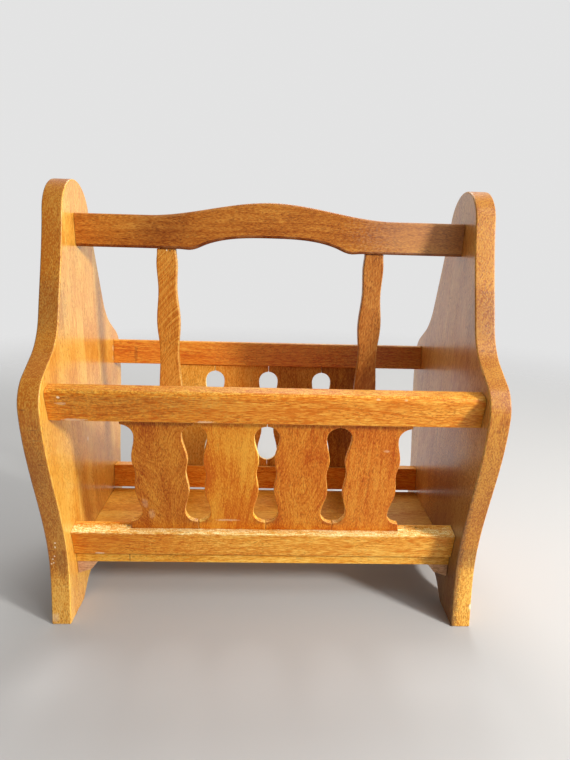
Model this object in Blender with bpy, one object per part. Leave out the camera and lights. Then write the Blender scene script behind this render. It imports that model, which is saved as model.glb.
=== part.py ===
"""Wooden magazine rack with a camel-back carrying handle.

Metres, +Z up, the width along X, the front towards -Y, the floor at Z = 0. Two shaped end panels
carry four rails, a handle and a bottom board between them. Each long side leans outwards and holds
four wavy splats in grooves; two centre splats join the handle to the bottom board.
"""

import math

import bmesh
import bpy
from mathutils import Matrix, Vector
from mathutils.geometry import interpolate_bezier

# Overall sizes
WIDTH = 0.400                 # over the outsides of the end panels
HEIGHT = 0.405                # floor to the top of the end panels
SHOULDER_DEPTH = 0.233        # front to back over the widest point of an end panel
GAP = 0.0003                  # left between pieces that are glued face to face

# End panels
PANEL_THICKNESS = 0.018
TOP_RADIUS = 0.035            # half round that ends each panel at the top
TOP_LEAN = 12                 # degrees off upright where the half round runs into the flank
NECK_IN = 0.0545              # how far inside the shoulder the flank ends
NECK_RISE = 0.068             # and how far above it
NECK_FALL = 72                # degrees below level that the outline falls there
FLARE_IN = 0.0325             # end of the hollow curve under the neck
FLARE_RISE = 0.038
FLARE_FALL = 33
BROW_IN = 0.0145              # start of the round of the shoulder
BROW_RISE = 0.0263
BROW_FALL = 32
SHOULDER_HEIGHT = 0.220       # floor to the widest point
WAIST_IN = 0.0268
WAIST_HEIGHT = 0.062
FOOT_IN = 0.0197
FOOT_FALL = 82
FOOT_LENGTH = 0.0365          # flat that stands on the floor
ARCH_HEIGHT = 0.018           # cut-out between the two feet of a panel
ARCH_START_RISE = 33          # degrees above level that the cut-out leaves the foot
ARCH_BEND_IN = 0.024          # how far from the foot the cut-out levels out
ARCH_BEND_HEIGHT = 0.0162
ARCH_BEND_RISE = 12

# Leaning sides: rails and splats lie in a plane that leans outwards
LEAN = 10.86                  # degrees
RAIL_THICKNESS = 0.0161
TOP_RAIL_HEIGHT = 0.0278
TOP_RAIL_RISE = 0.0024        # middle of the top rail above the shoulder of the panels
TOP_RAIL_SETBACK = 0.0118     # outer face of the top rail inside that shoulder
BOTTOM_RAIL_UP = 0.0643       # up the slope to the underside of the bottom rail
BOTTOM_RAIL_HEIGHT = 0.0268
TOP_RAIL_ROUND = 0.005        # outer top edge
TOP_RAIL_INNER_ROUND = 0.003  # inner top edge

# Side splats
SPLATS_PER_SIDE = 4
SPLAT_PITCH = 0.0634
SPLAT_THICKNESS = 0.005
SPLAT_SETBACK = 0.0073        # face of the splats behind the face of the rails
SPLAT_HOUSING = 0.0065        # length of a splat inside each rail's groove
GROOVE_END_ROOM = 0.0012      # groove longer than the row of splats, at each end
TOP_LOBE_DOWN = 0.0181        # widest point of the upper lobe below the top rail
TOP_LOBE_HALF = 0.0110
BOTTOM_LOBE_UP = 0.0197       # widest point of the lower lobe above the bottom rail
BOTTOM_LOBE_HALF = 0.0116
KEYHOLE_WAVE = ((0.305, 0.0069), (0.466, 0.0090), (0.693, 0.0070))  # share of the way down, half width

# Handle
HANDLE_THICKNESS = 0.016
HANDLE_DROP = 0.0595          # top of the panels to the underside of the handle's ends
HANDLE_HEIGHT = 0.0300        # at its ends
HANDLE_TOP_RISE = 0.0137      # of the camel back, over its ends
HANDLE_TOP_REACH = 0.115      # half the length of that rise
HANDLE_GRIP_RISE = 0.0119     # of the finger hollow under it
HANDLE_GRIP_REACH = 0.077     # half the length of the hollow, out to its lowest nubs
HANDLE_NUB_DROP = 0.0006      # of those nubs below the ends
HANDLE_BEND_IN = 0.015        # from a nub to the steepest point of the hollow
HANDLE_BEND_RISE = 0.0045
HANDLE_BEND_SLOPE = 20        # degrees
HANDLE_NUB_RUN = 0.010        # from a nub out to the flat of the ends

# Centre splats
CENTRE_SPLAT_OUT = 0.0222     # middle of a splat outside the nub of the handle
CENTRE_SPLAT_THICKNESS = 0.008
CENTRE_WAVE = ((0, 0.0088), (0.10, 0.0098), (0.26, 0.0088), (0.495, 0.0112), (0.70, 0.0091), (1, 0.0112))

# Bottom board and its corner blocks
BOARD_THICKNESS = 0.011
BOARD_FRONT_IN = 0.0034       # behind the lower edge of the front rail
BOARD_BACK_IN = 0.0140        # inside the lower edge of the back rail, which leaves a slot
BLOCK_REACH = 0.0200          # along the board
BLOCK_DROP = 0.0134           # down the panel
BLOCK_NOSE_REACH = 0.0132     # blunted corner of the slanting face
BLOCK_NOSE_DROP = 0.0086
BLOCK_LENGTH = 0.016
BLOCK_SET_BACK = 0.0007       # from the edge of the board

# Dowels
DOWEL_DIAMETER = 0.006
DOWEL_LENGTH = 0.030
DOWEL_IN_PANEL = 0.0115
DOWEL_CHAMFER = 0.0006
RAIL_DOWEL_SPREAD = 0.0130    # between the two dowels of a rail's end
HANDLE_DOWEL_SPREAD = 0.0150
SPLAT_DOWEL_DIAMETER = 0.004
SPLAT_DOWEL_LENGTH = 0.020
SPLAT_DOWEL_IN_BOARD = 0.007
SPLAT_DOWEL_IN_HANDLE = 0.010

# Fineness of curved outlines
CURVE_STEP = 0.0035
KEYHOLE_STEP = 0.0017
ARC_STEP = 6                  # degrees
LOBE_STEP = 9
ROUND_STEP = 15
ROUND_SIDES = 12

lean = math.radians(LEAN)
shoulder = SHOULDER_DEPTH / 2
inner_half = WIDTH / 2 - PANEL_THICKNESS
piece_length = 2 * (inner_half - GAP)
top_rail_middle = (SHOULDER_HEIGHT + TOP_RAIL_RISE) / math.cos(lean)
top_rail_up = top_rail_middle - TOP_RAIL_HEIGHT / 2
side_foot = (
    shoulder - TOP_RAIL_SETBACK - top_rail_middle * math.sin(lean) - RAIL_THICKNESS / 2 * math.cos(lean)
)
centre_splat_x = HANDLE_GRIP_REACH + CENTRE_SPLAT_OUT
handle_underside = HEIGHT - HANDLE_DROP
bottom_rail_top = BOTTOM_RAIL_UP + BOTTOM_RAIL_HEIGHT


def side_point(slope, outward):
    """Half depth and height of a point of a leaning side: up the slope, and outward of its middle plane."""
    depth = side_foot + slope * math.sin(lean) + outward * math.cos(lean)
    height = slope * math.cos(lean) - outward * math.sin(lean)
    return depth, height


rail_edge_depth, rail_edge_height = side_point(BOTTOM_RAIL_UP, RAIL_THICKNESS / 2)
board_front = rail_edge_depth - BOARD_FRONT_IN
board_back = rail_edge_depth - BOARD_BACK_IN
board_top = rail_edge_height + BOARD_FRONT_IN * math.tan(lean) - GAP
board_underside = board_top - BOARD_THICKNESS


# Materials

def wood(name, colour, roughness):
    finish = bpy.data.materials.new(name)
    finish.use_nodes = True
    shader = finish.node_tree.nodes["Principled BSDF"]
    shader.inputs["Base Color"].default_value = (*colour, 1)
    shader.inputs["Roughness"].default_value = roughness
    shader.inputs["Metallic"].default_value = 0
    finish.diffuse_color = (*colour, 1)
    return finish


def finish_for(obj, colour, roughness):
    obj.data.materials.append(wood(obj.name + "_finish", colour, roughness))


HONEY = (0.58, 0.26, 0.062)
AMBER = (0.46, 0.17, 0.033)
GOLD = (0.62, 0.29, 0.075)
RAW = (0.55, 0.33, 0.19)
BEECH = (0.60, 0.40, 0.22)
SATIN = 0.38
BARE = 0.75


# Outlines

def curve_through(knots, step=CURVE_STEP):
    """Smooth curve through knots of (across, up, heading in degrees), without its last point."""
    points = []
    for start, end in zip(knots, knots[1:]):
        first, last = Vector(start[:2]), Vector(end[:2])
        reach = (last - first).length / 3
        leave = Vector((math.cos(math.radians(start[2])), math.sin(math.radians(start[2])))) * reach
        arrive = Vector((math.cos(math.radians(end[2])), math.sin(math.radians(end[2])))) * reach
        count = max(2, round(3 * reach / step) + 1)
        piece = interpolate_bezier(first, first + leave, last - arrive, last, count)
        points += [(point[0], point[1]) for point in piece[:-1]]
    return points


def mirrored(half):
    """Closes an outline from its right half, which runs down from the middle line to it again."""
    return half + [(-across, up) for across, up in reversed(half) if abs(across) > 1e-9]


def wave_width(share, nodes):
    """Half width at a share of a wave that swells and narrows evenly between its nodes."""
    for (start, first), (end, last) in zip(nodes, nodes[1:]):
        if share <= end:
            turn = math.pi * (share - start) / (end - start)
            return first + (last - first) * (1 - math.cos(turn)) / 2
    return nodes[-1][1]


def panel_outline():
    top_centre = HEIGHT - TOP_RADIUS
    crown = [math.radians(angle) for angle in range(90 - ARC_STEP, TOP_LEAN, -ARC_STEP)]
    half = [(0, HEIGHT)]
    half += [(TOP_RADIUS * math.cos(a), top_centre + TOP_RADIUS * math.sin(a)) for a in crown]
    joint = math.radians(TOP_LEAN)
    foot = shoulder - FOOT_IN
    flank = [
        (TOP_RADIUS * math.cos(joint), top_centre + TOP_RADIUS * math.sin(joint), TOP_LEAN - 90),
        (shoulder - NECK_IN, SHOULDER_HEIGHT + NECK_RISE, -NECK_FALL),
        (shoulder - FLARE_IN, SHOULDER_HEIGHT + FLARE_RISE, -FLARE_FALL),
        (shoulder - BROW_IN, SHOULDER_HEIGHT + BROW_RISE, -BROW_FALL),
        (shoulder, SHOULDER_HEIGHT, -90),
        (shoulder - WAIST_IN, WAIST_HEIGHT, -90),
        (foot, 0, -FOOT_FALL),
    ]
    arch_foot = foot - FOOT_LENGTH
    arch = [
        (arch_foot, 0, 180 - ARCH_START_RISE),
        (arch_foot - ARCH_BEND_IN, ARCH_BEND_HEIGHT, 180 - ARCH_BEND_RISE),
        (0, ARCH_HEIGHT, 180),
    ]
    half += curve_through(flank) + [(foot, 0)] + curve_through(arch) + [(0, ARCH_HEIGHT)]
    return mirrored(half)


def handle_outline():
    end = piece_length / 2
    top = handle_underside + HANDLE_HEIGHT
    nub = (HANDLE_GRIP_REACH, handle_underside - HANDLE_NUB_DROP, 180)
    half = curve_through([(0, top + HANDLE_TOP_RISE, 0), (HANDLE_TOP_REACH, top, 0)])
    half += [(HANDLE_TOP_REACH, top), (end, top), (end, handle_underside)]
    half += curve_through([
        (HANDLE_GRIP_REACH + HANDLE_NUB_RUN, handle_underside, 180),
        nub,
        (nub[0] - HANDLE_BEND_IN, handle_underside + HANDLE_BEND_RISE, 180 - HANDLE_BEND_SLOPE),
        (0, handle_underside + HANDLE_GRIP_RISE, 180),
    ])
    half.append((0, handle_underside + HANDLE_GRIP_RISE))
    return mirrored(half)


def keyhole_edge():
    """Right edge of a side splat: (inset from the joint line, height up the slope), from the bottom up."""
    upper = top_rail_up - TOP_LOBE_DOWN
    lower = bottom_rail_top + BOTTOM_LOBE_UP
    nodes = ((0, TOP_LOBE_HALF), *KEYHOLE_WAVE, (1, BOTTOM_LOBE_HALF))
    quarter = [math.radians(angle) for angle in range(0, 90, LOBE_STEP)]
    edge = [(BOTTOM_LOBE_HALF * math.sin(a), lower - BOTTOM_LOBE_HALF * math.cos(a)) for a in quarter]
    count = round((upper - lower) / KEYHOLE_STEP)
    for index in range(count + 1):
        share = 1 - index / count
        edge.append((wave_width(share, nodes), upper - share * (upper - lower)))
    edge += [(TOP_LOBE_HALF * math.cos(a), upper + TOP_LOBE_HALF * math.sin(a)) for a in quarter[1:]]
    edge.append((0, upper + TOP_LOBE_HALF))
    return edge


def splat_outline():
    half = SPLAT_PITCH / 2 - GAP / 2
    bottom = bottom_rail_top - SPLAT_HOUSING
    top = top_rail_up + SPLAT_HOUSING
    edge = [(half - max(inset - GAP / 2, 0), height) for inset, height in keyhole_edge()]
    right = [(half, bottom)] + edge + [(half, top)]
    return right + [(-across, up) for across, up in reversed(right)]


def centre_splat_outline():
    bottom = board_top + GAP
    top = handle_underside - GAP
    middle = (top + bottom) / 2
    reach = (top - bottom) / 2
    count = round(reach / CURVE_STEP)
    upper = [(wave_width(i / count, CENTRE_WAVE), top - reach * i / count) for i in range(count)]
    lower = [(across, 2 * middle - up) for across, up in reversed(upper)]
    right = upper + [(CENTRE_WAVE[-1][1], middle)] + lower
    return right + [(-across, up) for across, up in reversed(right)]


def rail_outline(height, outer_round, inner_round):
    """Section of a rail: across is inward (+) of its middle, up from its underside."""
    half = RAIL_THICKNESS / 2
    points = [(half, 0)]
    turns = [math.radians(angle) for angle in range(0, 91, ROUND_STEP)]
    if outer_round:
        points += [
            (half - inner_round + inner_round * math.cos(a), height - inner_round + inner_round * math.sin(a))
            for a in turns
        ]
        points += [
            (outer_round - half - outer_round * math.sin(a), height - outer_round + outer_round * math.cos(a))
            for a in turns
        ]
    else:
        points += [(half, height), (-half, height)]
    points.append((-half, 0))
    return points


# Solids

def plate(name, outline, thickness, axes):
    """Solid of an outline, with half its thickness on each side of the outline's plane, turned by axes."""
    shape = bmesh.new()
    corners = [shape.verts.new((across, up, -thickness / 2)) for across, up in outline]
    face = shape.faces.new(corners)
    grown = bmesh.ops.extrude_face_region(shape, geom=[face])
    lifted = [item for item in grown["geom"] if isinstance(item, bmesh.types.BMVert)]
    bmesh.ops.translate(shape, verts=lifted, vec=(0, 0, thickness))
    bmesh.ops.transform(shape, matrix=axes, verts=shape.verts)
    bmesh.ops.recalc_face_normals(shape, faces=shape.faces)
    return added(name, shape)


def added(name, shape):
    mesh = bpy.data.meshes.new(name)
    shape.to_mesh(mesh)
    shape.free()
    obj = bpy.data.objects.new(name, mesh)
    bpy.context.scene.collection.objects.link(obj)
    mesh.shade_smooth()
    mesh.set_sharp_from_angle(angle=math.radians(35))
    return obj


def box(name, low, high):
    shape = bmesh.new()
    bmesh.ops.create_cube(shape, size=1)
    for vert in shape.verts:
        vert.co = [lo + (hi - lo) * (c + 0.5) for lo, hi, c in zip(low, high, vert.co)]
    return added(name, shape)


def rods(name, places, radius):
    """Plain round rods in one mesh, one from each (start, end)."""
    shape = bmesh.new()
    for start, end in places:
        run = Vector(end) - Vector(start)
        middle = Matrix.Translation((Vector(start) + Vector(end)) / 2)
        bmesh.ops.create_cone(
            shape, cap_ends=True, segments=ROUND_SIDES, radius1=radius, radius2=radius, depth=run.length,
            matrix=middle @ run.to_track_quat("Z", "Y").to_matrix().to_4x4(),
        )
    return added(name, shape)


def dowel(name, diameter, length):
    """Upright dowel round the origin, with chamfered ends."""
    shape = bmesh.new()
    bmesh.ops.create_cone(
        shape, cap_ends=True, segments=ROUND_SIDES, radius1=diameter / 2, radius2=diameter / 2, depth=length,
    )
    rims = [edge for edge in shape.edges if any(len(face.verts) == ROUND_SIDES for face in edge.link_faces)]
    bmesh.ops.bevel(
        shape, geom=rims, offset=DOWEL_CHAMFER, offset_type="OFFSET", segments=1, profile=0.5,
        affect="EDGES", material=-1,
    )
    rod = added(name, shape)
    finish_for(rod, BEECH, BARE)
    return rod


def cut(obj, cutter):
    """Takes the cutter's shape out of a piece."""
    cutter.hide_render = True
    cutter.display_type = "WIRE"
    modifier = obj.modifiers.new("cut_" + cutter.name, "BOOLEAN")
    modifier.operation = "DIFFERENCE"
    modifier.solver = "EXACT"
    modifier.object = cutter


FACING_X = Matrix(((0, 0, 1, 0), (1, 0, 0, 0), (0, 1, 0, 0), (0, 0, 0, 1)))   # across = Y, up = Z
FACING_Y = Matrix(((1, 0, 0, 0), (0, 0, -1, 0), (0, 1, 0, 0), (0, 0, 0, 1)))  # across = X, up = Z
ENDS = (("left", -1), ("right", 1))
SIDES = (("front", 0), ("back", math.pi))
RAILS = (
    ("top_rail", top_rail_up, TOP_RAIL_HEIGHT, TOP_RAIL_ROUND, TOP_RAIL_INNER_ROUND),
    ("bottom_rail", BOTTOM_RAIL_UP, BOTTOM_RAIL_HEIGHT, 0, 0),
)


def rail_dowel_places():
    """Name, half depth and height of each dowel in a rail's end, on the side at +Y."""
    places = []
    for rail, start, height, _, _ in RAILS:
        for step, where in ((-0.5, "lower"), (0.5, "upper")):
            slope = start + height / 2 + step * RAIL_DOWEL_SPREAD
            places.append((rail, where, slope, *side_point(slope, 0)))
    return places


def handle_dowel_places():
    middle = handle_underside + HANDLE_HEIGHT / 2
    return [
        (where, middle + step * HANDLE_DOWEL_SPREAD) for step, where in ((-0.5, "lower"), (0.5, "upper"))
    ]


def build_dowels():
    """Dowels of the rails and the handle: half in the end panel, half in the piece between the panels."""
    far = inner_half + DOWEL_IN_PANEL
    places = []
    for side, sign in (("front", -1), ("back", 1)):
        for rail, where, _, depth, height in rail_dowel_places():
            places.append((f"{side}_{rail}", where, sign * depth, height))
    places += [("handle", where, 0, height) for where, height in handle_dowel_places()]
    for end, sign in ENDS:
        for piece, where, depth, height in places:
            rod = dowel(f"{piece}_dowel_{end}_{where}", DOWEL_DIAMETER, DOWEL_LENGTH)
            rod.rotation_euler.y = math.pi / 2
            rod.location = (sign * (far - DOWEL_LENGTH / 2), depth, height)
    return places


def build_panels(places):
    for end, sign in ENDS:
        panel = plate(f"{end}_end_panel", panel_outline(), PANEL_THICKNESS, FACING_X)
        panel.location.x = sign * (WIDTH / 2 - PANEL_THICKNESS / 2)
        mouth = sign * (inner_half - GAP)
        floor = sign * (inner_half + DOWEL_IN_PANEL + GAP)
        holes = [((mouth, depth, height), (floor, depth, height)) for _, _, depth, height in places]
        cut(panel, rods(f"{end}_panel_holes", holes, DOWEL_DIAMETER / 2 + GAP))
        finish_for(panel, HONEY, SATIN)


def end_holes(name, places):
    """Cutter for the dowel holes in both ends of a piece; places are (depth, height) in its own axes."""
    mouth = inner_half + GAP
    floor = inner_half + DOWEL_IN_PANEL - DOWEL_LENGTH - GAP
    return rods(name, [
        ((sign * mouth, depth, height), (sign * floor, depth, height))
        for _, sign in ENDS for depth, height in places
    ], DOWEL_DIAMETER / 2 + GAP)


def build_side(side, turn):
    """One leaning side: an empty at its foot line carries the two rails and the splats."""
    frame = bpy.data.objects.new(side + "_side", None)
    bpy.context.scene.collection.objects.link(frame)
    frame.location = (0, -side_foot * math.cos(turn), 0)
    frame.rotation_euler = (lean, 0, turn)

    row_half = SPLATS_PER_SIDE * SPLAT_PITCH / 2
    groove_half = row_half + GROOVE_END_ROOM
    splat_face = -RAIL_THICKNESS / 2 + SPLAT_SETBACK
    depth = SPLAT_HOUSING + GAP
    for rail_name, start, height, outer_round, inner_round in RAILS:
        outline = rail_outline(height, outer_round, inner_round)
        rail = plate(f"{side}_{rail_name}", outline, piece_length, FACING_X)
        rail.parent = frame
        rail.location.z = start
        slopes = [slope for name, _, slope, _, _ in rail_dowel_places() if name == rail_name]
        holes = end_holes(f"{side}_{rail_name}_holes", [(0, slope - start) for slope in slopes])
        holes.parent = rail
        cut(rail, holes)
        low, high = (-GAP, depth) if rail_name == "top_rail" else (height - depth, height + GAP)
        groove = box(
            f"{side}_{rail_name}_groove",
            (-groove_half, splat_face - GAP, low),
            (groove_half, splat_face + SPLAT_THICKNESS + GAP, high),
        )
        groove.parent = rail
        cut(rail, groove)
        finish_for(rail, GOLD, SATIN)

    for index in range(SPLATS_PER_SIDE):
        splat = plate(f"{side}_splat_{index + 1}", splat_outline(), SPLAT_THICKNESS, FACING_Y)
        splat.parent = frame
        place = (index + 0.5) * SPLAT_PITCH - row_half
        splat.location = (place * math.cos(turn), splat_face + SPLAT_THICKNESS / 2, 0)
        finish_for(splat, AMBER, SATIN)


def build_handle():
    handle = plate("handle_rail", handle_outline(), HANDLE_THICKNESS, FACING_Y)
    cut(handle, end_holes("handle_end_holes", [(0, height) for _, height in handle_dowel_places()]))
    cut(handle, splat_sockets("handle_sockets", handle_underside - GAP, SPLAT_DOWEL_IN_HANDLE + 2 * GAP))
    finish_for(handle, AMBER, SATIN)


def splat_sockets(name, low, depth):
    """Cutter for the two holes that take the centre splats' dowels, from a height up."""
    return rods(name, [
        ((sign * centre_splat_x, 0, low), (sign * centre_splat_x, 0, low + depth)) for _, sign in ENDS
    ], SPLAT_DOWEL_DIAMETER / 2 + GAP)


def splat_dowel_ends():
    """Lowest and highest point of the two dowels of a centre splat: in the board, and in the handle."""
    low = board_top - SPLAT_DOWEL_IN_BOARD
    high = handle_underside + SPLAT_DOWEL_IN_HANDLE
    return (("foot", low, low + SPLAT_DOWEL_LENGTH), ("head", high - SPLAT_DOWEL_LENGTH, high))


def build_centre_splats():
    for end, sign in ENDS:
        splat = plate(f"centre_splat_{end}", centre_splat_outline(), CENTRE_SPLAT_THICKNESS, FACING_Y)
        splat.location.x = sign * centre_splat_x
        foot, head = splat_dowel_ends()
        holes = rods(f"centre_splat_{end}_holes", [
            ((0, 0, board_top), (0, 0, foot[2] + GAP)),
            ((0, 0, head[1] - GAP), (0, 0, handle_underside)),
        ], SPLAT_DOWEL_DIAMETER / 2 + GAP)
        holes.parent = splat
        cut(splat, holes)
        finish_for(splat, AMBER, SATIN)
        for where, low, high in (foot, head):
            rod = dowel(f"centre_splat_dowel_{end}_{where}", SPLAT_DOWEL_DIAMETER, SPLAT_DOWEL_LENGTH)
            rod.location = (sign * centre_splat_x, 0, (low + high) / 2)


def build_board():
    board = box(
        "bottom_board",
        (-piece_length / 2, -board_front, board_underside),
        (piece_length / 2, board_back, board_top),
    )
    socket_floor = board_top - SPLAT_DOWEL_IN_BOARD - GAP
    cut(board, splat_sockets("board_sockets", socket_floor, SPLAT_DOWEL_IN_BOARD + 2 * GAP))
    finish_for(board, HONEY, SATIN)
    section = [(0, 0), (0, -BLOCK_DROP), (BLOCK_NOSE_REACH, -BLOCK_NOSE_DROP), (BLOCK_REACH, 0)]
    front_place = -board_front + BLOCK_SET_BACK + BLOCK_LENGTH / 2
    back_place = board_back - BLOCK_SET_BACK - BLOCK_LENGTH / 2
    for end, sign in ENDS:
        for side, place in (("front", front_place), ("back", back_place)):
            outline = [(-sign * across, up) for across, up in section]
            block = plate(f"{side}_corner_block_{end}", outline, BLOCK_LENGTH, FACING_Y)
            block.location = (sign * (inner_half - GAP), place, board_underside - GAP)
            finish_for(block, RAW, BARE)


def main():
    for old in list(bpy.data.objects):
        bpy.data.objects.remove(old)
    build_panels(build_dowels())
    for side, turn in SIDES:
        build_side(side, turn)
    build_handle()
    build_centre_splats()
    build_board()


main()
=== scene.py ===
# Wooden magazine rack: solid wood pieces with rounded arrises, lacquered finishes and old glue.
import math
import random

import bmesh
import bpy
from mathutils import Matrix, Vector


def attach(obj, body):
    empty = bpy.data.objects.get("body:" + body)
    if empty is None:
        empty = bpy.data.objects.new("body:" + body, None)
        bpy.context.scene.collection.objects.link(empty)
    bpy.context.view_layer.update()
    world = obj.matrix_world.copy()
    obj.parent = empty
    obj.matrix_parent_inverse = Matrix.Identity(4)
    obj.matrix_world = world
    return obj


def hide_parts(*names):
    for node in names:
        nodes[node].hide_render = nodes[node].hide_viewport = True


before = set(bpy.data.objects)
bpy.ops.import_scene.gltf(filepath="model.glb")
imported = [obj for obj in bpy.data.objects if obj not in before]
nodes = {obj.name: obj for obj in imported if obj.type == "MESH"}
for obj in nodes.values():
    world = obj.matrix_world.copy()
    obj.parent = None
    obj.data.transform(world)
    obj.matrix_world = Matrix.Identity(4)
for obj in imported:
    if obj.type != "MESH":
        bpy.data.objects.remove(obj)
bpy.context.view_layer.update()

mergeGap = 2e-6  # metres, closes up the loose triangles
flatAngle = math.radians(0.4)  # faces that turn less become one
arrisAngle = math.radians(40)  # edges that turn more are rounded
smoothAngle = math.radians(38)  # and stay sharp in the shading
alongShare = 0.999  # of an edge's length, where it runs along an axis
squareShare = 0.99  # of a normal, where a face is square to an axis
upwardShare = 0.7  # of a normal, where a face looks up


# node trees

class Tree:
    # short calls to add shader nodes and join them
    def __init__(self, owner):
        self.nodes = owner.node_tree.nodes
        self.links = owner.node_tree.links

    def add(self, kind, inputs=None, **settings):
        node = self.nodes.new("ShaderNode" + kind)
        for name, value in settings.items():
            setattr(node, name, value)
        for name, value in (inputs or {}).items():
            self.put(node.inputs[name], value)
        return node

    def put(self, socket, value):
        if isinstance(value, bpy.types.NodeSocket):
            self.links.new(value, socket)
        else:
            socket.default_value = value

    def math(self, operation, first, second=0.0, third=None, clamp=False):
        inputs = {0: first, 1: second}
        if third is not None:
            inputs[2] = third
        return self.add("Math", inputs, operation=operation, use_clamp=clamp).outputs[0]

    def vector(self, operation, first, second=(0, 0, 0)):
        return self.add("VectorMath", {0: first, 1: second}, operation=operation).outputs[0]

    def length(self, vector):
        return self.add("VectorMath", {0: vector}, operation="LENGTH").outputs["Value"]

    def noise(self, vector, scale, detail, rough, output="Fac"):
        node = self.add("TexNoise", {
            "Vector": self.vector("MULTIPLY", vector, scale),
            "Scale": 1.0, "Detail": detail, "Roughness": rough,
        })
        return node.outputs[output]

    def ranged(self, value, low, high, first=0.0, last=1.0, smooth=True):
        kind = "SMOOTHSTEP" if smooth else "LINEAR"
        node = self.add("MapRange", {
            "Value": value, "From Min": low, "From Max": high, "To Min": first, "To Max": last,
        }, interpolation_type=kind)
        return node.outputs["Result"]

    def mix(self, factor, first, second):
        node = self.add("Mix", data_type="RGBA", clamp_factor=True)
        self.put(node.inputs["Factor"], factor)
        for socket, value in ((node.inputs[6], first), (node.inputs[7], second)):
            self.put(socket, value if isinstance(value, bpy.types.NodeSocket) else (*value, 1))
        return node.outputs[2]


# camera, floor and light

cameraLook = {
    "place": (0.00037, -0.51663, 0.36319),
    "yaw": 0.032261,  # radians, towards +X
    "pitch": 0.274041,  # downwards
    "roll": 0.029141,
    "lens": 24.819,  # millimetres
    "sensor": 36,
    "nearest": 0.01,
}


def makeCamera(look):
    data = bpy.data.cameras.new("camera")
    camera = bpy.data.objects.new("camera", data)
    bpy.context.scene.collection.objects.link(camera)
    data.lens = look["lens"]
    data.sensor_width = look["sensor"]
    data.clip_start = look["nearest"]
    yaw, pitch, roll = look["yaw"], look["pitch"], look["roll"]
    reach = math.cos(pitch)
    ahead = Vector((math.sin(yaw) * reach, math.cos(yaw) * reach, -math.sin(pitch)))
    level = Vector((math.cos(yaw), -math.sin(yaw), 0))
    upright = level.cross(ahead)
    side = level * math.cos(roll) + upright * math.sin(roll)
    top = upright * math.cos(roll) - level * math.sin(roll)
    turn = Matrix((side, top, -ahead)).transposed().to_4x4()
    camera.matrix_world = Matrix.Translation(look["place"]) @ turn
    bpy.context.scene.camera = camera


lightLook = {
    "aim": (0, 0, 0.20),
    "lamps": {
        "window_light": {
            "place": (1.103, -0.716, 0.679), "size": 0.20, "power": 22, "tint": (1, 0.985, 0.96),
        },
        "high_light": {
            "place": (1.231, -1.033, 2.115), "size": 0.80, "power": 11, "tint": (1, 1, 1),
        },
        "back_light": {
            "place": (0.16, 0.86, 1.54), "size": 0.80, "power": 17, "tint": (1, 1, 1),
        },
    },
    "dim": (0.17, 0.17, 0.17),
    "rightGlow": 0.72,  # world brightness added towards +X
    "rightSpan": (-0.3, 0.9),  # share of +X in the direction, from none of it to all
    "backGlow": 0.60,  # and towards +Y
    "backSpan": (0.0, 0.8),
}
floorLook = {
    "colour": (0.46, 0.455, 0.445),
    "roughness": 0.85,
    "radius": 1.7,
    "sides": 96,
    "fade": (0.5, 1.6),  # distances between which the floor fades away
}


def makeLamps(look):
    for name, lampLook in look["lamps"].items():
        data = bpy.data.lights.new(name, "AREA")
        data.shape = "DISK"
        data.size = lampLook["size"]
        data.energy = lampLook["power"]
        data.color = lampLook["tint"]
        lamp = bpy.data.objects.new(name, data)
        bpy.context.scene.collection.objects.link(lamp)
        beam = Vector(look["aim"]) - Vector(lampLook["place"])
        turn = beam.to_track_quat("-Z", "Y").to_matrix().to_4x4()
        lamp.matrix_world = Matrix.Translation(lampLook["place"]) @ turn


def makeFloor(look):
    shape = bmesh.new()
    bmesh.ops.create_circle(shape, cap_ends=True, segments=look["sides"], radius=look["radius"])
    mesh = bpy.data.meshes.new("studio_floor")
    shape.to_mesh(mesh)
    shape.free()
    floor = bpy.data.objects.new("studio_floor", mesh)
    bpy.context.scene.collection.objects.link(floor)
    paint = bpy.data.materials.new("floor_paint")
    paint.use_nodes = True
    tree = Tree(paint)
    shader = tree.nodes["Principled BSDF"]
    shader.inputs["Base Color"].default_value = (*look["colour"], 1)
    shader.inputs["Roughness"].default_value = look["roughness"]
    gone = tree.ranged(tree.length(tree.add("TexCoord").outputs["Object"]), *look["fade"])
    clear = tree.add("BsdfTransparent").outputs[0]
    faded = tree.add("MixShader", {0: gone, 1: shader.outputs[0], 2: clear})
    tree.put(tree.nodes["Material Output"].inputs["Surface"], faded.outputs[0])
    mesh.materials.append(paint)


def makeWorld(look):
    world = bpy.data.worlds.new("studio")
    world.use_nodes = True
    bpy.context.scene.world = world
    tree = Tree(world)
    sides = tree.add("SeparateXYZ", {0: tree.add("TexCoord").outputs["Generated"]}).outputs
    right = tree.ranged(sides[0], *look["rightSpan"], 0.0, look["rightGlow"], smooth=False)
    back = tree.ranged(sides[1], *look["backSpan"], 0.0, look["backGlow"])
    glow = tree.math("MAXIMUM", right, back)
    tree.put(tree.nodes["Background"].inputs["Color"], tree.vector("ADD", look["dim"], glow))


bpy.context.scene.view_settings.view_transform = "Standard"
makeCamera(cameraLook)
makeLamps(lightLook)
makeFloor(floorLook)
makeWorld(lightLook)
print("stage: camera, floor and lights made")


# wood finishes

lean = math.radians(10.86)  # of the long sides
quarterTurn = math.radians(90)
grainTurns = {
    "x": (0, 0, 0),
    "z": (0, quarterTurn, 0),
    "frontSlope": (-lean, quarterTurn, 0),
    "backSlope": (lean, quarterTurn, 0),
}
# colours of the marks: real stains, scuffs and glue, and also painted shade, painted light and a
# painted sheen; all but chalk are multiplied by the grain
markTints = {
    "chalk": (0.88, 0.70, 0.46),
    "stain_and_shade": (0.13, 0.045, 0.012),
    "amber": (0.70, 0.22, 0.018),
    "honey": (0.96, 0.50, 0.075),
    "painted_sheen": (1.0, 0.86, 0.36),
}

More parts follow.
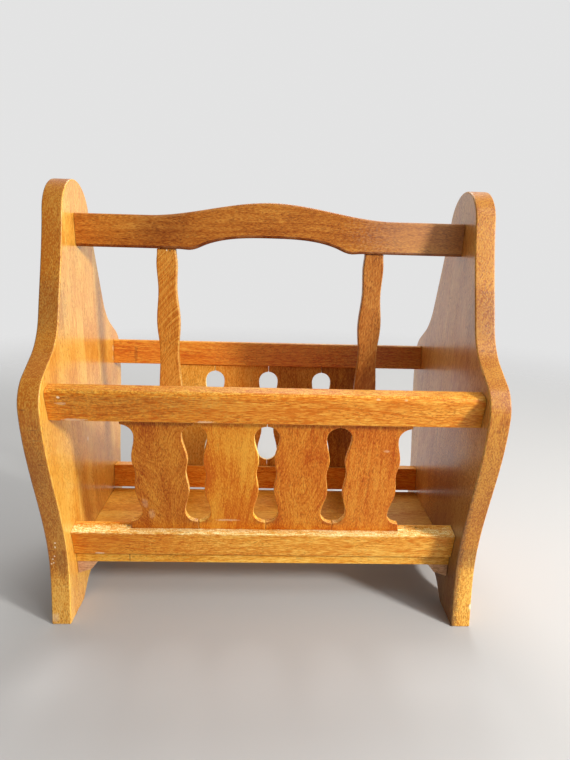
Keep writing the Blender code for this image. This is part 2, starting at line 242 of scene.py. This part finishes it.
# noises of every wood: scale per metre (first along the grain, then across it), detail, roughness
noises = {
    "bend": ((6, 22, 22), 2, 0.5),
    "swing": ((6, 24, 24), 1.5, 0.45),
    "whirl": ((9, 17, 17), 0.5, 0.4),
    "blotch": ((14, 42, 42), 3, 0.55),
    "streak": ((26, 1, 1), 3, 0.62),  # counts fine lines across the grain, not metres
    "fibre": ((120, 1050, 1050), 2, 0.6),
    "grit": ((1, 1400, 1400), 1, 0.5),  # each wood's dash is its scale along the grain
    "pore": ((330, 1350, 1350), 1, 0.45),
    "crowd": ((30, 80, 80), 2, 0.5),  # where pores are many or few
    "rimSpeck": ((850, 850, 520), 2, 0.5),  # by the piece's own axes
    "mark": ((500, 500, 500), 3, 0.65),  # the same
    "rub": ((60, 60, 60), 3, 0.6),
    "smear": ((14, 14, 14), 3, 0.6),
    "ripple": ((60, 160, 160), 2, 0.5),
}
# and the rest that every wood shares
figure = {
    "offset": 3,  # metres, how far the pattern is moved at most
    "bendReach": (0.006, 0.011, 0.011),  # metres
    "lateRise": (0.55, 0.92),  # shares of a ring's width
    "lateFall": (0.93, 1.0),
    "poreOpens": (0.54, 0.64),  # noise values between which a pore opens
    "crowdOpens": (0.30, 0.68),
    "fewest": 0.35,  # share of the pores left where they are fewest
    "stops": (0.08, 0.5, 0.92),  # of the deep, middle and pale tones
    "hollow": 0.55,  # tone of pores and joints, as a share of the deepest tone
    "staveJump": (7, 5, 6),  # metres, how far a stave's figure is moved at most
    "jointWidth": 0.00022,
    "jointDepth": 0.35,
    "markRagged": 1.6,
    "markFades": (0.50, 1.20),  # distances from a mark's middle, as shares of its reach
    "rubOpens": (0.42, 0.62),
    "rubbed": 0.94,  # how much of the pale tone is left where it is rubbed
    "smearDepth": 0.24,  # of the roughness
    "poreRough": 0.15,
    "wornRough": 0.3,
    "rimCoat": 0.1,  # share of the coat left on rims and arrises
    "coatRoughness": 0.20,
    "bump": {"Strength": 0.35, "Distance": 0.00012},
    "heights": {"fibre": 0.35, "pore": -0.8, "ripple": 0.5},
}

baseWood = {
    "grain": "x",
    "seed": 0,
    "colour": (0.60, 0.20, 0.018),
    "deep": (1.65, 1.50, 1.45),  # powers that turn the colour into its darkest tone, by channel
    "pale": (0.68, 0.72, 0.78),  # and into its palest
    "rings": 300,  # per metre across the grain
    "slant": 0.5,  # share of the third axis in the rings
    "climb": 0.0,  # share of the grain's own direction
    "swirl": 0.0,  # in rings, bends the figure into arcs
    "ringWarp": 4.0,  # in rings
    "band": 0.13,  # this and the next five: how much each pattern changes the tone
    "late": 0.05,
    "blotch": 0.52,
    "streak": 0.16,
    "fibre": 0.26,
    "grit": 0.55,
    "dash": 180,  # of grit, per metre along the grain
    "lines": 4.5,  # fine lines to a ring
    "pores": 0.60,  # how dark they are
    "contrast": 2.2,  # strength of the whole figure
    "rim": None,  # tint of the faces marked as rim; on the rails, splats and handle it is painted light or shade by which way the face looks
    "rimGrit": 0.55,  # how much specks change the tone there
    "staves": (),  # joint, tone beyond it
    "staveAxis": 1,  # the piece's own axis that the staves follow one another along
    "marks": (),  # place, reach, tint, strength
    "wear": 0.22,
    "roughness": 0.40,
    "shine": 0.22,
    "coat": 0.03,
}


def stavePattern(tree, place, look):
    # boards glued side by side: how far each one's figure is moved, its tone, and the joint lines
    across = tree.add("SeparateXYZ", {0: place}).outputs[look["staveAxis"]]
    count = tone = joints = last = 0.0
    for edge, shift in look["staves"]:
        beyond = tree.math("GREATER_THAN", across, edge)
        count = tree.math("ADD", count, beyond)
        tone = tree.math("MULTIPLY_ADD", beyond, shift - last, tone)
        joints = tree.math("ADD", joints, tree.math("COMPARE", across, edge, figure["jointWidth"]))
        last = shift
    moved = tree.add("TexWhiteNoise", {"W": count}, noise_dimensions="1D").outputs["Color"]
    return tree.vector("MULTIPLY", moved, figure["staveJump"]), tone, joints


def paintMarks(tree, place, colour, grain, marks):
    # stains, scuffs and drops of glue, and also painted shade and painted light; the grain shows
    # through all but the glue
    for at, reach, tint, strength in marks:
        far = tree.length(tree.vector("DIVIDE", tree.vector("SUBTRACT", place, at), reach))
        ragged = tree.noise(place, *noises["mark"])
        inner = tree.math("SUBTRACT", far, figure["markRagged"] / 2)
        edge = tree.math("MULTIPLY_ADD", ragged, figure["markRagged"], inner)
        mask = tree.ranged(edge, *figure["markFades"], strength, 0.0)
        shown = markTints[tint]
        if tint != "chalk":
            shown = tree.vector("MULTIPLY", grain, shown)
        colour = tree.mix(mask, colour, shown)
    return colour


def ringPattern(tree, turned, bent, look):
    # growth rings: the distance along the grain, the count of rings, their soft bands
    # and the dark line that ends each
    along, across, depth = tree.add("SeparateXYZ", {0: bent}).outputs
    radius = tree.math("MULTIPLY_ADD", depth, look["slant"], across)
    radius = tree.math("MULTIPLY_ADD", along, look["climb"], radius)
    swing = tree.noise(turned, *noises["swing"])
    phase = tree.math("MULTIPLY", radius, look["rings"])
    phase = tree.math("MULTIPLY_ADD", swing, look["ringWarp"], phase)
    if look["swirl"]:
        whirl = tree.noise(turned, *noises["whirl"])
        phase = tree.math("MULTIPLY_ADD", whirl, look["swirl"], phase)
    band = tree.add("TexNoise", {
        "W": phase, "Scale": 1.0, "Detail": 2.0,
    }, noise_dimensions="1D").outputs["Fac"]
    share = tree.math("FRACT", phase)
    rise = tree.ranged(share, *figure["lateRise"])
    late = tree.math("MULTIPLY", rise, tree.ranged(share, *figure["lateFall"], 1.0, 0.0))
    return along, phase, band, late


def streakPattern(tree, along, phase, look):
    lines = tree.math("MULTIPLY", phase, look["lines"])
    return tree.noise(tree.add("CombineXYZ", {0: along, 1: lines}).outputs[0], *noises["streak"])


def porePattern(tree, turned, bent):
    pore = tree.ranged(tree.noise(bent, *noises["pore"]), *figure["poreOpens"])
    crowd = tree.noise(turned, *noises["crowd"])
    crowd = tree.ranged(crowd, *figure["crowdOpens"], figure["fewest"], 1.0)
    return tree.math("MULTIPLY", pore, crowd)


def woodFinish(name, **changes):
    look = {**baseWood, **changes}
    draw = random.Random(look["seed"])
    material = bpy.data.materials.new(name)
    material.use_nodes = True
    tree = Tree(material)
    shader = tree.nodes["Principled BSDF"]

    place = tree.add("TexCoord").outputs["Object"]
    offset = tuple(draw.uniform(-figure["offset"], figure["offset"]) for _ in range(3))
    turned = tree.add("Mapping", {
        "Vector": place, "Rotation": grainTurns[look["grain"]], "Location": offset,
    }).outputs[0]
    if look["staves"]:
        jump, staveTone, joints = stavePattern(tree, place, look)
        turned = tree.vector("ADD", turned, jump)
    bend = tree.noise(turned, *noises["bend"], output="Color")
    bend = tree.vector("SUBTRACT", bend, (0.5, 0.5, 0.5))
    bent = tree.vector("ADD", turned, tree.vector("MULTIPLY", bend, figure["bendReach"]))

    along, phase, band, late = ringPattern(tree, turned, bent, look)
    streaks = streakPattern(tree, along, phase, look)
    pore = porePattern(tree, turned, bent)
    blotch = tree.noise(turned, *noises["blotch"])
    fibre = tree.noise(bent, *noises["fibre"])
    grit = tree.noise(tree.vector("MULTIPLY", bent, (look["dash"], 1, 1)), *noises["grit"])
    parts = {"blotch": blotch, "band": band, "streak": streaks, "fibre": fibre, "grit": grit}
    tone = 0.0
    for kind, part in parts.items():
        tone = tree.math("MULTIPLY_ADD", tree.math("SUBTRACT", part, 0.5), look[kind], tone)
    tone = tree.math("MULTIPLY_ADD", late, -look["late"], tone)
    if look["rim"]:
        rim = tree.add("Attribute", attribute_name="rim").outputs["Fac"]
        speck = tree.math("SUBTRACT", tree.noise(place, *noises["rimSpeck"]), 0.5)
        speck = tree.math("MULTIPLY", speck, rim)
        tone = tree.math("MULTIPLY_ADD", speck, look["rimGrit"], tone)
    tone = tree.math("MULTIPLY_ADD", tone, look["contrast"], 0.5)
    if look["staves"]:
        tone = tree.math("ADD", tone, staveTone)

    deep = tuple(v ** power for v, power in zip(look["colour"], look["deep"]))
    pale = tuple(v ** power for v, power in zip(look["colour"], look["pale"]))
    hollow = tuple(figure["hollow"] * v for v in deep)
    ramp = tree.add("ValToRGB", {"Fac": tone})
    stops = ramp.color_ramp.elements
    stops[0].position, stops[0].color = figure["stops"][0], (*deep, 1)
    stops[1].position, stops[1].color = figure["stops"][2], (*pale, 1)
    stops.new(figure["stops"][1]).color = (*look["colour"], 1)
    colour = tree.mix(tree.math("MULTIPLY", pore, look["pores"]), ramp.outputs["Color"], hollow)
    if look["staves"]:
        if look["rim"]:
            joints = tree.math("MULTIPLY", joints, tree.math("SUBTRACT", 1.0, rim))
        colour = tree.mix(tree.math("MULTIPLY", joints, figure["jointDepth"]), colour, hollow)
    grain = tree.vector("DIVIDE", colour, look["colour"])
    # rim tint: painted light on tops and side edges, painted shade under the handle
    if look["rim"]:
        colour = tree.mix(rim, colour, tree.vector("MULTIPLY", colour, look["rim"]))
    colour = paintMarks(tree, place, colour, grain, look["marks"])

    arris = tree.add("Attribute", attribute_name="arris").outputs["Fac"]
    rub = tree.ranged(tree.noise(turned, *noises["rub"]), *figure["rubOpens"])
    worn = tree.math("MULTIPLY", tree.math("MULTIPLY", arris, rub), look["wear"])
    rubbed = tuple(1 - figure["rubbed"] + figure["rubbed"] * v for v in pale)
    tree.put(shader.inputs["Base Color"], tree.mix(worn, colour, rubbed))

    smear = tree.math("SUBTRACT", tree.noise(turned, *noises["smear"]), 0.5)
    rough = tree.math("MULTIPLY_ADD", smear, figure["smearDepth"], look["roughness"])
    rough = tree.math("MULTIPLY_ADD", pore, figure["poreRough"], rough)
    rough = tree.math("MULTIPLY_ADD", worn, figure["wornRough"], rough, clamp=True)
    tree.put(shader.inputs["Roughness"], rough)
    shader.inputs["Specular IOR Level"].default_value = look["shine"]
    shader.inputs["Coat Weight"].default_value = look["coat"]
    if look["rim"] and look["coat"]:
        bare = tree.math("MAXIMUM", rim, arris)
        lost = (figure["rimCoat"] - 1) * look["coat"]
        tree.put(shader.inputs["Coat Weight"], tree.math("MULTIPLY_ADD", bare, lost, look["coat"]))
    shader.inputs["Coat Roughness"].default_value = figure["coatRoughness"]

    heights = figure["heights"]
    ripple = tree.noise(turned, *noises["ripple"])
    height = tree.math("MULTIPLY", fibre, heights["fibre"])
    height = tree.math("MULTIPLY_ADD", pore, heights["pore"], height)
    height = tree.math("MULTIPLY_ADD", ripple, heights["ripple"], height)
    bump = tree.add("Bump", {**figure["bump"], "Height": height})
    tree.put(shader.inputs["Normal"], bump.outputs[0])
    return material


# finished pieces; lengths are in metres, and shortest is the shortest edge that is rounded

def mergedShape(node):
    shape = bmesh.new()
    shape.from_mesh(nodes[node].data)
    bmesh.ops.remove_doubles(shape, verts=shape.verts, dist=mergeGap)
    bmesh.ops.dissolve_limit(shape, angle_limit=flatAngle, verts=shape.verts, edges=shape.edges)
    return shape


# longWays keeps only edges along that axis, skipEnds leaves out edges of faces square to that axis,
# and top keeps only edges of faces that look up
def roundArrises(shape, width, segments, shortest=0.0, longWays=None, skipEnds=None, top=False):
    layer = shape.faces.layers.float.get("arris") or shape.faces.layers.float.new("arris")
    chosen = []
    for edge in shape.edges:
        if len(edge.link_faces) != 2 or edge.calc_face_angle() < arrisAngle:
            continue
        run = edge.verts[1].co - edge.verts[0].co
        if run.length < shortest:
            continue
        if longWays is not None and abs(run[longWays]) < alongShare * run.length:
            continue
        normals = [face.normal for face in edge.link_faces]
        if skipEnds is not None and any(abs(normal[skipEnds]) > squareShare for normal in normals):
            continue
        if top and not any(normal.z > upwardShare for normal in normals):
            continue
        chosen.append(edge)
    rounded = bmesh.ops.bevel(
        shape, geom=chosen, offset=width, offset_type="OFFSET", segments=segments, profile=0.5,
        affect="EDGES", clamp_overlap=True, material=-1,
    )
    for face in rounded["faces"]:
        face[layer] = 1.0


# test gives each face's share of the rim tint from its normal; on the rails, splats and handle that
# tint is painted light or shade
def markRim(shape, test):
    shape.normal_update()
    layer = shape.faces.layers.float.new("rim")
    for face in shape.faces:
        face[layer] = float(test(face.normal))


def finishPiece(shape, name, node, material):
    mesh = bpy.data.meshes.new(name)
    shape.to_mesh(mesh)
    shape.free()
    piece = bpy.data.objects.new(name, mesh)
    bpy.context.scene.collection.objects.link(piece)
    mesh.shade_smooth()
    mesh.set_sharp_from_angle(angle=smoothAngle)
    mesh.materials.append(material)
    weighted = piece.modifiers.new("even_shading", "WEIGHTED_NORMAL")
    weighted.keep_sharp = True
    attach(piece, "root")
    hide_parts(node)


panelLook = {
    "arris": 0.0013, "segments": 3, "shortest": 0.0022,
    "rimLimit": 0.6,  # share of X in the normal, below which a face is rim
    "outside": 0.6,  # share of the rim's tint on the outer face
    "wood": {
        "grain": "z", "rimGrit": 0.75, "contrast": 2.9, "dash": 130, "shine": 0.4, "wear": 0.12,
    },
    "left": {
        "seed": 11, "colour": (0.72, 0.36, 0.048), "rim": (0.67, 0.50, 0.36), "coat": 0.7,
        "staves": ((-0.052, -0.02), (-0.004, -0.10), (0.034, -0.02), (0.072, -0.08)),
        "marks": (
            ((-0.1910, -0.0900, 0.0100), (0.0300, 0.0600, 0.0500), "honey", 0.45),
            ((-0.1940, -0.0560, 0.2960), (0.0200, 0.0200, 0.0300), "stain_and_shade", 0.30),
            ((-0.1960, -0.1050, 0.1700), (0.0120, 0.0200, 0.0300), "stain_and_shade", 0.20),
            ((-0.1955, -0.1165, 0.2213), (0.0030, 0.01, 0.0007), "stain_and_shade", 0.5),
            ((-0.1895, -0.1150, 0.2038), (0.0045, 0.01, 0.0005), "stain_and_shade", 0.5),
            ((-0.1880, -0.1130, 0.1943), (0.0050, 0.01, 0.0005), "stain_and_shade", 0.5),
            ((-0.1870, -0.1090, 0.1707), (0.0035, 0.01, 0.0006), "stain_and_shade", 0.5),
            ((-0.1970, -0.0910, 0.0760), (0.0030, 0.01, 0.0006), "stain_and_shade", 0.5),
            ((-0.1885, -0.0900, 0.0620), (0.0055, 0.01, 0.0150), "stain_and_shade", 0.28),
            ((-0.1918, -0.0905, 0.0843), (0.0008, 0.002, 0.0009), "chalk", 0.9),
            ((-0.1924, -0.0905, 0.0795), (0.0007, 0.002, 0.0012), "chalk", 0.9),
            ((-0.1940, -0.0900, 0.0695), (0.0008, 0.002, 0.0009), "chalk", 0.9),
            ((-0.1960, -0.0900, 0.0663), (0.0009, 0.002, 0.0008), "chalk", 0.9),
            ((-0.1955, -0.0897, 0.0625), (0.0008, 0.002, 0.0008), "chalk", 0.9),
            ((-0.1975, -0.0897, 0.0614), (0.0007, 0.002, 0.0008), "chalk", 0.8),
            ((-0.1965, -0.0960, 0.0070), (0.0040, 0.01, 0.0045), "chalk", 0.3),
            ((-0.1820, -0.0154, 0.1562), (0.0010, 0.0016, 0.0028), "chalk", 0.9),
            ((-0.1820, 0.0868, 0.2280), (0.0010, 0.0014, 0.0035), "chalk", 0.8),
            ((-0.1820, 0.0844, 0.2166), (0.0010, 0.0014, 0.0025), "chalk", 0.8),
        ),
    },
    "right": {
        "seed": 12, "colour": (0.60, 0.280, 0.050), "rim": (0.77, 0.60, 0.28), "coat": 0.8,
        "staves": ((-0.017, 0.07), (0.012, 0.02), (0.066, 0.06)),
        "marks": (
            ((0.1870, -0.0726, 0.2684), (0.0026, 0.004, 0.0006), "stain_and_shade", 0.6),
            ((0.1945, -0.0726, 0.2680), (0.0022, 0.004, 0.0005), "stain_and_shade", 0.45),
            ((0.1910, -0.0900, 0.0150), (0.0300, 0.0600, 0.0600), "honey", 0.60),
            ((0.1991, -0.0936, 0.0203), (0.0014, 0.004, 0.0032), "chalk", 0.9),
            ((0.1820, 0.0040, 0.1580), (0.0010, 0.0007, 0.0180), "stain_and_shade", 0.7),
            # painted shade: the lower inner face darkened towards the foot
            ((0.1800, -0.0650, 0.0500), (0.0080, 0.0900, 0.1500), "stain_and_shade", 0.75),
            ((0.1910, -0.0560, 0.2950), (0.0300, 0.0200, 0.0280), "stain_and_shade", 0.25),
            ((0.1940, -0.0920, 0.0720), (0.0200, 0.0200, 0.0120), "stain_and_shade", 0.35),
        ),
    },
}


def makePanels(look):
    for end, outward in (("left", -1), ("right", 1)):
        node = end + "_end_panel"
        shape = mergedShape(node)
        roundArrises(shape, look["arris"], look["segments"], look["shortest"])

        def rimShare(normal):
            if abs(normal.x) < look["rimLimit"]:
                return 1.0
            return look["outside"] if normal.x * outward > 0 else 0.0

        markRim(shape, rimShare)
        finish = woodFinish(node + "_wood", **look["wood"], **look[end])
        finishPiece(shape, node + "_board", node, finish)


railLook = {
    "arris": 0.0009, "segments": 3, "crown": 0.0028, "crownSegments": 5, "shortest": 0.30,
    "rimLimit": 0.6,  # share of Z in the normal, above which a face is rim
    "wood": {
        # the rim tint makes the top faces paler: painted light from above
        "colour": (0.69, 0.235, 0.017), "rim": (1.06, 1.30, 1.8),
        "blotch": 0.34, "streak": 0.24, "dash": 130, "contrast": 3.2,
    },
    "front_top_rail": {
        "seed": 21,
        "marks": (
            ((-0.1835, -0.104, 0.218), (0.0050, 0.02, 0.030), "amber", 0.5),
            # painted shade: the front face darker on the left third
            ((-0.1200, -0.1180, 0.2180), (0.1400, 0.0160, 0.0500), "stain_and_shade", 0.42),
            # painted light: the front face paler towards the right
            ((0.0700, -0.1120, 0.2180), (0.1600, 0.0150, 0.0300), "honey", 0.25),
            ((-0.1707, -0.1063, 0.2293), (0.0013, 0.003, 0.0012), "chalk", 0.9),
            ((-0.1693, -0.1052, 0.2237), (0.0050, 0.004, 0.0012), "chalk", 0.3),
            ((-0.1610, -0.1020, 0.2085), (0.0105, 0.005, 0.0014), "chalk", 0.5),
            ((-0.0530, -0.1023, 0.2085), (0.0080, 0.004, 0.0011), "chalk", 0.45),
            ((0.0913, -0.1070, 0.2325), (0.0018, 0.003, 0.0010), "chalk", 0.4),
            ((0.1146, -0.1070, 0.2322), (0.0015, 0.003, 0.0009), "chalk", 0.3),
        ),
    },
    "front_bottom_rail": {
        "seed": 22,
        "marks": (
            ((-0.1308, -0.0704, 0.0896), (0.0022, 0.003, 0.0030), "stain_and_shade", 0.9),
            ((0.1356, -0.0689, 0.0899), (0.0008, 0.004, 0.0030), "stain_and_shade", 0.8),
            ((0.1390, -0.0700, 0.0895), (0.0006, 0.004, 0.0030), "stain_and_shade", 0.7),
            ((0.1464, -0.0687, 0.0900), (0.0012, 0.003, 0.0030), "stain_and_shade", 0.85),
            ((-0.1577, -0.0744, 0.0630), (0.0050, 0.004, 0.0012), "chalk", 0.6),
            # painted light: the front face paler towards the right
            ((0.0800, -0.0800, 0.0750), (0.1700, 0.0200, 0.0400), "honey", 0.55),
            # painted sheen along the top of the rail
            ((0.0100, -0.0770, 0.0895), (0.3000, 0.0100, 0.0032), "painted_sheen", 0.68),
        ),
    },
    "back_top_rail": {"seed": 23, "shine": 0.5, "marks": (
        # painted shade: the right part of the rail darker
        ((0.1800, 0.0950, 0.2180), (0.1300, 0.0300, 0.0400), "stain_and_shade", 0.35),
        ((-0.1560, 0.0900, 0.2200), (0.0022, 0.0060, 0.0120), "stain_and_shade", 0.35),
    )},
    "back_bottom_rail": {"seed": 24},
}


def makeRails(look):
    for side in ("front", "back"):
        for rail in ("top_rail", "bottom_rail"):
            node = f"{side}_{rail}"
            shape = mergedShape(node)
            if rail == "top_rail":
                crown = (look["crown"], look["crownSegments"], look["shortest"])
                roundArrises(shape, *crown, longWays=0, top=True)
            roundArrises(shape, look["arris"], look["segments"], look["shortest"], longWays=0)
            markRim(shape, lambda normal: normal.z > look["rimLimit"])
            finish = woodFinish(node + "_wood", **look["wood"], **look[node])
            finishPiece(shape, node + "_bar", node, finish)


splatLook = {
    "arris": 0.0008, "segments": 2,
    "rimLimit": 0.75,  # share of Y in the normal, below which a face is rim
    # the rim tint makes the edges much paler: painted highlight
    "wood": {"rim": (1.45, 2.5, 7.0), "coat": 0.0, "dash": 380, "contrast": 2.7},
    "glue": (  # at the foot of the front keyholes
        ((-0.0634, -0.0735, 0.0995), (0.0125, 0.0070, 0.0045), "stain_and_shade", 0.40),
        ((0.0000, -0.0735, 0.0995), (0.0125, 0.0070, 0.0045), "stain_and_shade", 0.40),
        ((0.0634, -0.0735, 0.0995), (0.0125, 0.0070, 0.0045), "stain_and_shade", 0.40),
    ),
    "front": (
        {
            "seed": 31, "colour": (0.51, 0.150, 0.010), "ringWarp": 2, "swirl": 34, "lines": 3.2,
            "streak": 0.42, "marks": (
                ((-0.1118, -0.0777, 0.1187), (0.0030, 0.004, 0.0060), "chalk", 0.14),
                ((-0.1064, -0.0752, 0.1060), (0.0032, 0.004, 0.0055), "chalk", 0.16),
            ),
        },
        {
            "seed": 32, "colour": (0.67, 0.220, 0.013), "ringWarp": 5, "blotch": 0.72, "pores": 0.3,
            "marks": (
                ((-0.0359, -0.0740, 0.0999), (0.0115, 0.004, 0.0012), "chalk", 0.35),
            ),
        },
        {
            "seed": 33, "colour": (0.61, 0.180, 0.012), "ringWarp": 2, "swirl": 40, "lines": 3.2,
            "streak": 0.42,
        },
        {
            "seed": 34, "colour": (0.60, 0.168, 0.012), "ringWarp": 3,
            "marks": (
                ((0.1060, -0.0910, 0.1790), (0.0035, 0.004, 0.0014), "chalk", 0.25),
            ),
        },
    ),
    "back": (
        # their colours darken from the first splat to the fourth: painted shade of the right end
        # panel
        {"seed": 35, "colour": (0.70, 0.34, 0.048), "ringWarp": 4, "swirl": 14, "marks": (
            # painted shade low down on the splat
            ((-0.0950, 0.0800, 0.1200), (0.0600, 0.0400, 0.0700), "stain_and_shade", 0.35),
        )},
        {"seed": 36, "colour": (0.68, 0.27, 0.030), "ringWarp": 5},
        {"seed": 37, "colour": (0.50, 0.20, 0.024), "ringWarp": 9},
        {"seed": 38, "colour": (0.36, 0.13, 0.013), "ringWarp": 4},
    ),
}


def makeSideSplats(look):
    for side in ("front", "back"):
        for index, wood in enumerate(look[side], 1):
            node = f"{side}_splat_{index}"
            shape = mergedShape(node)
            roundArrises(shape, look["arris"], look["segments"])
            markRim(shape, lambda normal: abs(normal.y) < look["rimLimit"])
            marks = wood.get("marks", ()) + (look["glue"] if side == "front" else ())
            changes = {**look["wood"], **wood, "marks": marks}
            finish = woodFinish(node + "_wood", grain=side + "Slope", **changes)
            finishPiece(shape, node + "_slat", node, finish)


handleLook = {
    "arris": 0.0026, "segments": 3, "shortest": 0.0022,
    "rimLimit": -0.2,  # share of Z in the normal, below which a face is rim
    "wood": {
        "seed": 41, "fibre": 0.20, "streak": 0.10, "dash": 320, "colour": (0.40, 0.125, 0.013),
        # the rim tint darkens the underside: painted shade
        "rim": (0.45, 0.30, 0.25), "marks": (
            ((-0.1800, -0.008, 0.365), (0.0500, 0.030, 0.040), "amber", 0.15),
            ((-0.1000, -0.008, 0.366), (0.0300, 0.030, 0.020), "stain_and_shade", 0.22),
            # painted light: the shaded right end made paler
            ((0.1600, -0.008, 0.366), (0.0800, 0.030, 0.040), "chalk", 0.12),
        ),
    },
}


def makeHandle(look):
    shape = mergedShape("handle_rail")
    roundArrises(shape, look["arris"], look["segments"], look["shortest"], skipEnds=0)
    markRim(shape, lambda normal: normal.z < look["rimLimit"])
    finish = woodFinish("handle_wood", **look["wood"])
    finishPiece(shape, "handle_grip", "handle_rail", finish)


centreSplatLook = {
    "arris": 0.0013, "segments": 3, "shortest": 0.0022,
    "rimLimit": 0.5,  # share of X in the normal, above which a face is rim
    # the rim tint makes the side edges paler: painted highlight
    "wood": {"grain": "z", "rim": (1.12, 1.5, 2.2), "slant": 0.9, "climb": 0.8},
    "left": {
        "seed": 51, "colour": (0.56, 0.21, 0.024), "ringWarp": 5, "band": 0.30, "lines": 3.0,
        "streak": 0.80, "marks": (
            ((-0.0985, -0.004, 0.3440), (0.0009, 0.002, 0.0009), "chalk", 0.9),
            ((-0.0955, -0.004, 0.3438), (0.0010, 0.002, 0.0008), "stain_and_shade", 0.9),
        ),
    },
    # its darker colour is painted shade of the right end panel
    "right": {"seed": 52, "ringWarp": 6, "blotch": 0.30, "colour": (0.43, 0.145, 0.022)},
}


def makeCentreSplats(look):
    for end in ("left", "right"):
        node = "centre_splat_" + end
        shape = mergedShape(node)
        roundArrises(shape, look["arris"], look["segments"], look["shortest"], skipEnds=2)
        markRim(shape, lambda normal: abs(normal.x) > look["rimLimit"])
        finish = woodFinish(node + "_wood", **look["wood"], **look[end])
        finishPiece(shape, node + "_slat", node, finish)


boardLook = {
    "arris": 0.0006, "segments": 2, "shortest": 0.30,
    "wood": {
        "seed": 61, "colour": (0.70, 0.310, 0.030), "contrast": 3.2, "dash": 130,
        "staves": ((-0.046, -0.06), (-0.021, 0.03), (0.006, -0.04), (0.034, 0.02)),
        "marks": (
            ((-0.1306, -0.0707, 0.0565), (0.0006, 0.006, 0.010), "stain_and_shade", 0.7),
            ((0.0340, -0.0707, 0.0570), (0.0040, 0.004, 0.0022), "stain_and_shade", 0.5),
            ((-0.0026, -0.0707, 0.0520), (0.0010, 0.003, 0.0009), "chalk", 0.9),
            # painted shade: the right part of the board darker
            ((0.1700, 0.0000, 0.0620), (0.1100, 0.1300, 0.0300), "stain_and_shade", 0.35),
            ((0.0600, -0.0720, 0.0560), (0.1700, 0.0060, 0.0200), "honey", 0.6),
        ),
    },
}


def makeBoard(look):
    shape = mergedShape("bottom_board")
    roundArrises(shape, look["arris"], look["segments"], look["shortest"], longWays=0)
    finish = woodFinish("bottom_board_wood", **look["wood"])
    finishPiece(shape, "bottom_shelf", "bottom_board", finish)


blockLook = {
    "arris": 0.0004, "segments": 1,
    "wood": {"colour": (0.56, 0.30, 0.155), "roughness": 0.8, "coat": 0.0},
    "seeds": {"front": (71, 72), "back": (73, 74)},
}


def makeBlocks(look):
    for side, seeds in look["seeds"].items():
        for end, seed in zip(("left", "right"), seeds):
            node = f"{side}_corner_block_{end}"
            shape = mergedShape(node)
            roundArrises(shape, look["arris"], look["segments"])
            finish = woodFinish(node + "_wood", seed=seed, **look["wood"])
            finishPiece(shape, node + "_offcut", node, finish)


dowelLook = {"seed": 81, "colour": (0.60, 0.38, 0.20), "roughness": 0.75, "coat": 0.0}


def finishDowels(look):
    finish = woodFinish("dowel_wood", **look)
    for name, piece in nodes.items():
        if "_dowel_" in name:
            piece.material_slots[0].material = finish


makePanels(panelLook)
makeRails(railLook)
print("frame: end panels and rails made")
makeSideSplats(splatLook)
makeHandle(handleLook)
makeCentreSplats(centreSplatLook)
print("splats and handle made")
makeBoard(boardLook)
makeBlocks(blockLook)
finishDowels(dowelLook)
print("bottom: board, corner blocks and dowels made")

bpy.context.view_layer.update()
